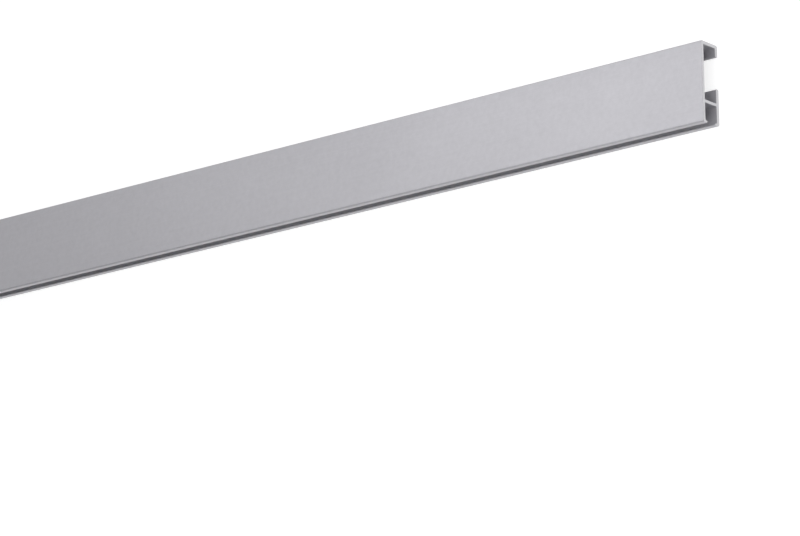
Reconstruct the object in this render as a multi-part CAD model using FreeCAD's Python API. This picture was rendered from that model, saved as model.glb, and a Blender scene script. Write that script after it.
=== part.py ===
import FreeCAD, Part
import math
import os

# Overall sizes of the rail in millimetres. The cut length is a stock length, and the face height sets
# the scale of the rest of the section.
rail_length = 1000.0
face_height = 25.0
rail_depth = 8.0

# Walls of the upper channel, which clips over fixings on the wall through the open mouth at the back.
plate_wall = 1.0
top_wall = 1.0
lip_wall = 1.1
lip_drop = 3.7

# Back wall, which rises past the web as the lower edge of the mouth, and the web that ties it to the plate.
back_wall = 1.2
back_wall_top = 11.5
web_wall = 0.9
web_top = 7.0

# Foot turned in from the plate and wedge-shaped toe turned out from the back wall. The slot for the
# hangers is left between their tips.
foot_reach = 1.0
foot_wall = 0.6
toe_reach = 1.0
toe_tip = 0.4
toe_root = 0.8
toe_lift = 0.2

# Radii left by the die: the upper and the rounder lower front edge, the two rear edges, the top end of the
# back wall, the other free wall ends as a share of their thickness, the inside corners and the blend of the
# foot into the plate.
face_radius = 0.4
lower_radius = 0.6
rear_radius = 0.6
end_radius = 0.4
tip_share = 0.45
inside_radius = 0.3
foot_blend = 0.6

lip_end = face_height - lip_drop
top_inside = face_height - top_wall
plate_inside = rail_depth - plate_wall
foot_tip = plate_inside - foot_reach
toe_front = back_wall + toe_reach
web_under = web_top - web_wall


def round_corner(before, corner, after, radius):
    """The start, middle and end of the arc that rounds one corner of the outline."""
    back = (before - corner).normalize()
    ahead = (after - corner).normalize()
    half = back.getAngle(ahead) / 2
    run = radius / math.tan(half)
    middle = corner + (back + ahead).normalize() * (radius / math.sin(half) - radius)
    return corner + back * run, middle, corner + ahead * run


def rounded_face(corners):
    """A flat face from (height, depth, radius) corners, each one rounded by its radius."""
    points = [FreeCAD.Vector(-rail_length / 2, y - face_height / 2, z) for y, z, _ in corners]
    arcs = []
    for i, (_, _, radius) in enumerate(corners):
        following = points[(i + 1) % len(points)]
        arcs.append(round_corner(points[i - 1], points[i], following, radius))
    edges = []
    for i, (start, middle, end) in enumerate(arcs):
        edges.append(Part.makeLine(arcs[i - 1][2], start))
        edges.append(Part.Arc(start, middle, end).toShape())
    return Part.Face(Part.Wire(edges))


# The section, followed up the front face, round the top lip, down the inside of the upper channel, over
# the back wall to the toe, round the hanger channel and out along the foot.
section = rounded_face([
    (0, rail_depth, lower_radius),
    (face_height, rail_depth, face_radius),
    (face_height, 0, rear_radius),
    (lip_end, 0, lip_wall * tip_share),
    (lip_end, lip_wall, lip_wall * tip_share),
    (top_inside, lip_wall, inside_radius),
    (top_inside, plate_inside, inside_radius),
    (web_top, plate_inside, inside_radius),
    (web_top, back_wall, inside_radius),
    (back_wall_top, back_wall, end_radius),
    (back_wall_top, 0, end_radius),
    (toe_lift, 0, rear_radius),
    (toe_lift, toe_front, toe_tip * tip_share),
    (toe_lift + toe_tip, toe_front, toe_tip * tip_share),
    (toe_lift + toe_root, back_wall, inside_radius),
    (web_under, back_wall, inside_radius),
    (web_under, plate_inside, inside_radius),
    (foot_wall, plate_inside, foot_blend),
    (foot_wall, foot_tip, foot_wall * tip_share),
    (0, foot_tip, foot_wall * tip_share),
])
rail = section.extrude(FreeCAD.Vector(rail_length, 0, 0))

os.makedirs("parts", exist_ok=True)
rail.exportStep("parts/rail.step")
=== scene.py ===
import bpy
import numpy as np
from mathutils import Matrix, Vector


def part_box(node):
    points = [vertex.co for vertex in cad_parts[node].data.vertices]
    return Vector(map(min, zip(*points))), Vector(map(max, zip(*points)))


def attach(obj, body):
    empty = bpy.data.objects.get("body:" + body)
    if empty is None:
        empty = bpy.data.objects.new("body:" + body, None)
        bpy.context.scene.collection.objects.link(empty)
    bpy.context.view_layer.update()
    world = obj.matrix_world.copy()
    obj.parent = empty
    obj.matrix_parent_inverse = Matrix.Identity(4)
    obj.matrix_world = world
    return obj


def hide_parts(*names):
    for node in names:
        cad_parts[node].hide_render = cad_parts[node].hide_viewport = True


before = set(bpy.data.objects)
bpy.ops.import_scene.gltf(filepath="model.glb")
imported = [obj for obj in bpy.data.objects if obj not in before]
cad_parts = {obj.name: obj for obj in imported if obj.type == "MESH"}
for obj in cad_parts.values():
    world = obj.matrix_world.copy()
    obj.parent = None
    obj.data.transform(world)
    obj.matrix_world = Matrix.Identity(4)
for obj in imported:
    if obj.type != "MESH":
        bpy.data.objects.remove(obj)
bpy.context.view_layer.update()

# The rail is one length of aluminium pushed hot through a die, so the same section runs from end to end. It
# is etched, anodised in its natural colour and sawn square at both ends. It lies here on its back, with the
# face plate up and the edge that goes to the top of the wall at +Y. The section's sizes are in millimetres.
MM = 0.001
low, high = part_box("rail")
LENGTH, HEIGHT, DEPTH = (high - low) / MM
PLATE, TOP, WEB, BACK, LIP = 1.0, 1.0, 0.9, 1.2, 1.1
LIP_DROP, BACK_END, WEB_TOP = 3.7, 11.5, 7.0
FOOT, FOOT_REACH = 0.6, 1.0
TOE, TOE_ROOT, TOE_REACH, TOE_LIFT = 0.4, 0.8, 1.0, 0.2
FACE_ROUND, LOWER_ROUND, REAR_ROUND = 0.4, 0.6, 0.6
END_ROUND, INSIDE_ROUND, FOOT_BLEND = 0.4, 0.3, 0.6
TIP_SHARE = 0.45
LIP_END = HEIGHT - LIP_DROP
FOOT_TIP = DEPTH - PLATE - FOOT_REACH
TOE_TIP = BACK + TOE_REACH
ARC_STEPS = 10
SAW_BREAK = 0.06
SHARP_EDGE = np.radians(30)


def rounded_section(corners, steps):
    """The closed outline and its outward normals: every (height, depth, radius) corner becomes an arc.

    With half the corner's angle h, the arc's centre is radius / sin(h) along the bisector. It starts and
    ends radius / tan(h) along the two sides, and its points turn evenly from the first radius to the last.
    """
    at, radius = corners[:, :2], corners[:, 2:]
    back, ahead = np.roll(at, 1, 0) - at, np.roll(at, -1, 0) - at
    back /= np.linalg.norm(back, axis=1, keepdims=True)
    ahead /= np.linalg.norm(ahead, axis=1, keepdims=True)
    half = np.arccos(np.sum(back * ahead, 1, keepdims=True)) / 2
    middle = (back + ahead) / np.linalg.norm(back + ahead, axis=1, keepdims=True)
    centre = at + middle * radius / np.sin(half)
    first = (at + back * radius / np.tan(half) - centre) / radius
    last = (at + ahead * radius / np.tan(half) - centre) / radius
    turn = np.pi - 2 * half[:, None]
    t = np.linspace(0, 1, steps)[None, :, None]
    spoke = (np.sin((1 - t) * turn) * first[:, None] + np.sin(t * turn) * last[:, None]) / np.sin(turn)
    outline = centre[:, None] + radius[:, None] * spoke
    side = np.sign(back[:, :1] * ahead[:, 1:] - back[:, 1:] * ahead[:, :1])
    return outline.reshape(-1, 2), (side[:, None] * spoke).reshape(-1, 2)


section = np.array([
    (0, DEPTH, LOWER_ROUND),
    (HEIGHT, DEPTH, FACE_ROUND),
    (HEIGHT, 0, REAR_ROUND),
    (LIP_END, 0, LIP * TIP_SHARE),
    (LIP_END, LIP, LIP * TIP_SHARE),
    (HEIGHT - TOP, LIP, INSIDE_ROUND),
    (HEIGHT - TOP, DEPTH - PLATE, INSIDE_ROUND),
    (WEB_TOP, DEPTH - PLATE, INSIDE_ROUND),
    (WEB_TOP, BACK, INSIDE_ROUND),
    (BACK_END, BACK, END_ROUND),
    (BACK_END, 0, END_ROUND),
    (TOE_LIFT, 0, REAR_ROUND),
    (TOE_LIFT, TOE_TIP, TOE * TIP_SHARE),
    (TOE_LIFT + TOE, TOE_TIP, TOE * TIP_SHARE),
    (TOE_LIFT + TOE_ROOT, BACK, INSIDE_ROUND),
    (WEB_TOP - WEB, BACK, INSIDE_ROUND),
    (WEB_TOP - WEB, DEPTH - PLATE, INSIDE_ROUND),
    (FOOT, DEPTH - PLATE, FOOT_BLEND),
    (FOOT, FOOT_TIP, FOOT * TIP_SHARE),
    (0, FOOT_TIP, FOOT * TIP_SHARE),
])


def extruded(outline, normal, length, edge):
    """Vertices, faces and UVs of the outline carried along X between two sawn ends.

    Ring k stands at x[k] and is drawn in along the normals by inset[k], which breaks the edges of the cut. A
    cap closes each end ring. The outline runs clockwise as seen from +X, and all faces point outwards. U is
    the distance along the rail and V the one round the section, in metres.
    """
    x = np.array([-length / 2, -length / 2 + edge, length / 2 - edge, length / 2])
    inset = np.array([edge, 0, 0, edge])
    ring = outline[None] - inset[:, None, None] * normal[None]
    points = np.concatenate([np.broadcast_to(x[:, None, None], ring.shape[:2] + (1,)), ring], 2)
    points[..., 1] -= HEIGHT / 2
    count = len(outline)
    here = np.arange(count)[None] + count * np.arange(len(x) - 1)[:, None]
    after = np.roll(here, -1, 1)
    sides = np.stack([here, here + count, after + count, after], 2).reshape(-1, 4)
    caps = [np.arange(count), np.arange(count)[::-1] + count * (len(x) - 1)]
    step = np.linalg.norm(np.diff(outline, axis=0, append=outline[:1]), axis=1)
    around = np.concatenate([[0], np.cumsum(step)])
    along = np.broadcast_to(x[:, None], (len(x), count + 1))
    flat = np.stack([along, np.broadcast_to(around, along.shape)], 2)
    side_uv = np.stack([flat[:-1, :-1], flat[1:, :-1], flat[1:, 1:], flat[:-1, 1:]], 2).reshape(-1, 2)
    points = points.reshape(-1, 3)
    cap_uv = [points[cap, 1:] for cap in caps]
    faces = sides.tolist() + [cap.tolist() for cap in caps]
    return points * MM, faces, np.concatenate([side_uv, *cap_uv]) * MM


outline, normal = rounded_section(section, ARC_STEPS)
points, faces, uv = extruded(outline, normal, LENGTH, SAW_BREAK)
mesh = bpy.data.meshes.new("rail_extrusion")
mesh.from_pydata(points.tolist(), [], faces)
mesh.uv_layers.new(name="run").data.foreach_set("uv", uv.ravel())
mesh.validate()
mesh.shade_smooth()
mesh.set_sharp_from_angle(angle=SHARP_EDGE)
rail = bpy.data.objects.new("rail_extrusion", mesh)
bpy.context.collection.objects.link(rail)
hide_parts("rail")
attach(rail, "root")


def linear(code):
    """The linear RGBA colour of an sRGB hex code, by the sRGB curve's toe and 2.4 power."""
    s = np.array([int(code[i:i + 2], 16) for i in (1, 3, 5)]) / 255
    return (*np.where(s > 0.04045, ((s + 0.055) / 1.055) ** 2.4, s / 12.92), 1.0)


def node(tree, kind, inputs, **settings):
    """Adds a node, sets its settings, and sets or links each of its inputs by name or number."""
    made = tree.nodes.new(kind)
    for name, value in settings.items():
        setattr(made, name, value)
    for key, value in inputs.items():
        if isinstance(value, bpy.types.NodeSocket):
            tree.links.new(value, made.inputs[key])
        else:
            made.inputs[key].default_value = value
    return made


def new_material(name):
    """An empty node material, its tree and its output node."""
    material = bpy.data.materials.new(name)
    material.use_nodes = True
    material.node_tree.nodes.clear()
    return material, material.node_tree, material.node_tree.nodes.new("ShaderNodeOutputMaterial")


# Natural anodised aluminium, etched matt before the bath: a cool pale grey that spreads reflections wide.
# Its oxide film scatters as a matt coat does, so it is less metallic than bare metal, and its thickness
# drifts. The etch shows the crystals as a mottle. To show, the die's lines are drawn four times too coarse.
ANODISED_DARK, ANODISED_PALE = "#acabb0", "#c4c3c8"
CRYSTAL = 1.5
DIE_LINE, DIE_LINE_RUN = 0.45, 160.0
DRIFT = 35.0
DRIFT_SHARE, CRYSTAL_SHARE = 0.6, 0.5
UNEVEN_LOW, UNEVEN_HIGH = 0.3, 0.7
DULL_SATIN, KEEN_SATIN = 0.44, 0.38
RELIEF = 0.02 * MM
# A Mix node has several inputs called A and B and several results, so they are picked by number.
NUMBER_A, NUMBER_B, COLOUR_A, COLOUR_B, COLOUR_RESULT = 2, 3, 6, 7, 2
anodised, tree, out = new_material("satin anodised aluminium")
skin = node(tree, "ShaderNodeUVMap", {}, uv_map="run")
drawn = node(tree, "ShaderNodeMapping", {
    "Vector": skin.outputs["UV"], "Scale": (1 / (DIE_LINE_RUN * MM), 1 / (DIE_LINE * MM), 1)})
lines = node(tree, "ShaderNodeTexNoise", {
    "Vector": drawn.outputs["Vector"], "Scale": 1, "Detail": 4, "Roughness": 0.6}, noise_dimensions="2D")
place = node(tree, "ShaderNodeTexCoord", {})
mottle = node(tree, "ShaderNodeTexNoise", {
    "Vector": place.outputs["Object"], "Scale": 1 / (CRYSTAL * MM), "Detail": 3, "Roughness": 0.6})
drift = node(tree, "ShaderNodeTexNoise", {
    "Vector": place.outputs["Object"], "Scale": 1 / (DRIFT * MM), "Detail": 3, "Roughness": 0.5})
streaked = node(tree, "ShaderNodeMix", {
    "Factor": DRIFT_SHARE, NUMBER_A: lines.outputs["Fac"], NUMBER_B: drift.outputs["Fac"]})
uneven = node(tree, "ShaderNodeMix", {
    "Factor": CRYSTAL_SHARE, NUMBER_A: streaked.outputs["Result"], NUMBER_B: mottle.outputs["Fac"]})
tone = node(tree, "ShaderNodeMix", {
    "Factor": uneven.outputs["Result"], COLOUR_A: linear(ANODISED_DARK), COLOUR_B: linear(ANODISED_PALE)},
    data_type="RGBA")
gloss = node(tree, "ShaderNodeMapRange", {
    "Value": uneven.outputs["Result"], "From Min": UNEVEN_LOW, "From Max": UNEVEN_HIGH,
    "To Min": DULL_SATIN, "To Max": KEEN_SATIN})
etched = node(tree, "ShaderNodeBump", {
    "Height": mottle.outputs["Fac"], "Strength": 0.2, "Distance": RELIEF})
ridged = node(tree, "ShaderNodeBump", {
    "Height": lines.outputs["Fac"], "Strength": 0.06, "Distance": RELIEF,
    "Normal": etched.outputs["Normal"]})
shader = node(tree, "ShaderNodeBsdfPrincipled", {
    "Base Color": tone.outputs[COLOUR_RESULT], "Metallic": 0.5, "Roughness": gloss.outputs["Result"],
    "Normal": ridged.outputs["Normal"]})
tree.links.new(shader.outputs["BSDF"], out.inputs["Surface"])
mesh.materials.append(anodised)

# A sawn end is bare aluminium, a shade brighter than the anodised skin, and so is the broken edge round
# the cut. The teeth leave fine slanting strokes, drawn about three times their real spacing to show. At
# scale 1 the wave texture turns through 20 radians in a unit, so WAVE_UNIT is the length of one wave.
SAWN_DARK, SAWN_PALE = "#bbbbbe", "#cacacc"
STROKE, STROKE_SLANT = 0.35, np.radians(28)
WAVE_UNIT = 2 * np.pi / 20
DULL_SAWN, KEEN_SAWN = 0.42, 0.3
sawn, tree, out = new_material("sawn aluminium")
place = node(tree, "ShaderNodeTexCoord", {})
slant = node(tree, "ShaderNodeMapping", {
    "Vector": place.outputs["Object"], "Rotation": (STROKE_SLANT, 0, 0)})
strokes = node(tree, "ShaderNodeTexWave", {
    "Vector": slant.outputs["Vector"], "Scale": WAVE_UNIT / (STROKE * MM), "Distortion": 2.5, "Detail": 3,
    "Detail Scale": 1.5}, bands_direction="Z")
tone = node(tree, "ShaderNodeMix", {
    "Factor": strokes.outputs["Fac"], COLOUR_A: linear(SAWN_DARK), COLOUR_B: linear(SAWN_PALE)},
    data_type="RGBA")
gloss = node(tree, "ShaderNodeMapRange", {
    "Value": strokes.outputs["Fac"], "To Min": DULL_SAWN, "To Max": KEEN_SAWN})
scored = node(tree, "ShaderNodeBump", {
    "Height": strokes.outputs["Fac"], "Strength": 0.2, "Distance": RELIEF})
shader = node(tree, "ShaderNodeBsdfPrincipled", {
    "Base Color": tone.outputs[COLOUR_RESULT], "Metallic": 1.0, "Roughness": gloss.outputs["Result"],
    "Normal": scored.outputs["Normal"]})
tree.links.new(shader.outputs["BSDF"], out.inputs["Surface"])
mesh.materials.append(sawn)
# The faces come in bands of one outline each: a broken edge, the skin and the other broken edge. The two
# caps come last.
ANODISED_SLOT, SAWN_SLOT = 0, 1
finish = np.full(len(faces), SAWN_SLOT, np.int32)
finish[len(outline):2 * len(outline)] = ANODISED_SLOT
mesh.polygons.foreach_set("material_index", finish)

# The floor is a sheet of white paper that lies flat under the rail and curves up into a low wall far away
# all round. It is white to the camera and in reflections, a little more so where the lamps no longer reach,
# which keeps the whole sheet even. Its matt side takes the rail's soft shadow. Its sizes are in metres.
PAPER_MIDDLE, PAPER_FLAT, PAPER_CURVE, PAPER_WALL = 1.0, 14.0, 2.0, 2.5
PAPER_SPOKES, PAPER_RINGS = 96, 13
PAPER_DROP = 0.1 * MM
PAPER_TONE = "#a0a0a0"
LIT_SPOT, LIT_INSIDE, LIT_EDGE = (0.45, 0.0, 0.0), 0.2, 1.0
GLOW_LIT, GLOW_UNLIT = 0.78, 0.88


def paper_cove(middle, flat, curve, wall, spokes, rings):
    """Points on spokes round the origin, from the middle outwards.

    On the flat the radius grows evenly. On the curve, while the angle a goes from nought to a right angle,
    the radius grows by curve * sin(a) and the height by wall * (1 - cos(a)).
    """
    turn = np.linspace(0, 2 * np.pi, spokes, endpoint=False)[:, None]
    bend = np.linspace(0, np.pi / 2, rings)
    radius = np.concatenate([np.linspace(middle, flat, rings)[:-1], flat + curve * np.sin(bend)])
    height = np.concatenate([np.zeros(rings - 1), wall * (1 - np.cos(bend))])
    return np.stack(np.broadcast_arrays(radius * np.cos(turn), radius * np.sin(turn), height), 2)


cove = paper_cove(PAPER_MIDDLE, PAPER_FLAT, PAPER_CURVE, PAPER_WALL, PAPER_SPOKES, PAPER_RINGS)
cove[..., 2] -= PAPER_DROP
here = np.arange(cove.shape[0] * cove.shape[1]).reshape(cove.shape[:2])
after = np.roll(here, -1, 0)
quads = np.stack([here[:, :-1], here[:, 1:], after[:, 1:], after[:, :-1]], 2).reshape(-1, 4)
floor_mesh = bpy.data.meshes.new("floor")
floor_mesh.from_pydata(cove.reshape(-1, 3).tolist(), [], quads.tolist() + [here[:, 0].tolist()])
floor_mesh.shade_smooth()
floor = bpy.data.objects.new("floor", floor_mesh)
bpy.context.collection.objects.link(floor)
paper, tree, out = new_material("white paper")
rays = node(tree, "ShaderNodeLightPath", {})
seen = node(tree, "ShaderNodeMath", {
    0: rays.outputs["Is Camera Ray"], 1: rays.outputs["Is Glossy Ray"]}, operation="MAXIMUM")
seen = node(tree, "ShaderNodeMath", {
    0: seen.outputs["Value"], 1: rays.outputs["Is Transmission Ray"]}, operation="MAXIMUM")
place = node(tree, "ShaderNodeTexCoord", {})
away = node(tree, "ShaderNodeVectorMath", {
    0: place.outputs["Object"], 1: LIT_SPOT}, operation="DISTANCE")
white = node(tree, "ShaderNodeMapRange", {
    "Value": away.outputs["Value"], "From Min": LIT_INSIDE, "From Max": LIT_EDGE,
    "To Min": GLOW_LIT, "To Max": GLOW_UNLIT}, interpolation_type="SMOOTHSTEP")
seen = node(tree, "ShaderNodeMath", {
    0: seen.outputs["Value"], 1: white.outputs["Result"]}, operation="MULTIPLY")
glow = node(tree, "ShaderNodeEmission", {"Strength": seen.outputs["Value"]})
matt = node(tree, "ShaderNodeBsdfDiffuse", {"Color": linear(PAPER_TONE)})
both = node(tree, "ShaderNodeAddShader", {0: glow.outputs["Emission"], 1: matt.outputs["BSDF"]})
tree.links.new(both.outputs["Shader"], out.inputs["Surface"])
floor_mesh.materials.append(paper)

# The light is that of a room with pale walls and a dimmer ceiling. One corner of it, low at the left in
# front of the rail, is dark and draws the thin dark line along the lower edge. Four soft boxes round the
# near end bring the face up to pale grey towards the cut, and reach into the slot and the channels.
ROOM_WALLS, ROOM_CEILING = 0.9, 0.22
CORNER_WAY, CORNER_EDGE, CORNER_HEART = (-0.6, -0.73, 0.24), 0.5, 0.9
world = bpy.data.worlds.new("studio")
bpy.context.scene.world = world
world.use_nodes = True
tree = world.node_tree
tree.nodes.clear()
way = node(tree, "ShaderNodeTexCoord", {})
upward = node(tree, "ShaderNodeSeparateXYZ", {"Vector": way.outputs["Generated"]})
room = node(tree, "ShaderNodeMapRange", {
    "Value": upward.outputs["Z"], "To Min": ROOM_WALLS, "To Max": ROOM_CEILING})
towards = node(tree, "ShaderNodeVectorMath", {
    0: way.outputs["Generated"], 1: CORNER_WAY}, operation="DOT_PRODUCT")
corner = node(tree, "ShaderNodeMapRange", {
    "Value": towards.outputs["Value"], "From Min": CORNER_EDGE, "From Max": CORNER_HEART,
    "To Min": 1.0, "To Max": 0.0}, interpolation_type="SMOOTHSTEP")
level = node(tree, "ShaderNodeMath", {
    0: room.outputs["Result"], 1: corner.outputs["Result"]}, operation="MULTIPLY")
sky = node(tree, "ShaderNodeBackground", {"Color": linear("#ffffff"), "Strength": level.outputs["Value"]})
node(tree, "ShaderNodeOutputWorld", {"Surface": sky.outputs["Background"]})


def facing(at, aim, roll=0.0):
    """The placing of something that looks from one point at another, with the rail's top edge upwards.

    Its own X is the cross product of the line of sight and +Y, its own Y completes the frame, and the roll
    then turns both about the line of sight.
    """
    ahead = (aim - at) / np.linalg.norm(aim - at)
    right = np.cross(ahead, (0, 1, 0))
    right /= np.linalg.norm(right)
    up = np.cross(right, ahead)
    right, up = np.cos(roll) * right + np.sin(roll) * up, np.cos(roll) * up - np.sin(roll) * right
    return Matrix(np.block([[np.stack([right, up, -ahead, at], 1)], [np.array([0, 0, 0, 1])]]).tolist())


def softbox(name, at, side, watts):
    """A square area lamp that faces the near end of the rail and doesn't show to the camera."""
    lamp = bpy.data.lights.new(name, "AREA")
    lamp.shape, lamp.size, lamp.energy = "SQUARE", side, watts
    held = bpy.data.objects.new(name, lamp)
    bpy.context.collection.objects.link(held)
    held.matrix_world = facing(np.array(at), np.array(LIT_SPOT))
    held.visible_camera = False


softbox("window", at=(0.19, 0.21, 0.55), side=0.4, watts=0.72)
softbox("end light", at=(0.65, -0.15, 0.45), side=0.3, watts=1.25)
softbox("back light", at=(0.9, 0.35, 0.45), side=0.3, watts=0.3)
softbox("front light", at=(0.25, -0.30, 0.60), side=0.4, watts=0.9)

# The camera looks down along the rail at its near end from over a metre away. Its long lens keeps the edges
# of the face almost parallel, and its place, aim and roll bring those edges and the corners of the cut onto
# the photograph.
CAMERA_AT = np.array([1201.97, -394.56, 1013.68]) * MM
CAMERA_AIM = np.array([382.24, -34.34, 4.0]) * MM
CAMERA_ROLL = np.radians(-0.66)
LENS, SENSOR = 198, 36
camera = bpy.data.cameras.new("camera")
camera.lens, camera.sensor_width, camera.sensor_fit = LENS, SENSOR, "HORIZONTAL"
camera.clip_start, camera.clip_end = 0.01, 100
viewer = bpy.data.objects.new("camera", camera)
bpy.context.collection.objects.link(viewer)
viewer.matrix_world = facing(CAMERA_AT, CAMERA_AIM, CAMERA_ROLL)
bpy.context.scene.camera = viewer
bpy.context.scene.view_settings.view_transform = "Standard"
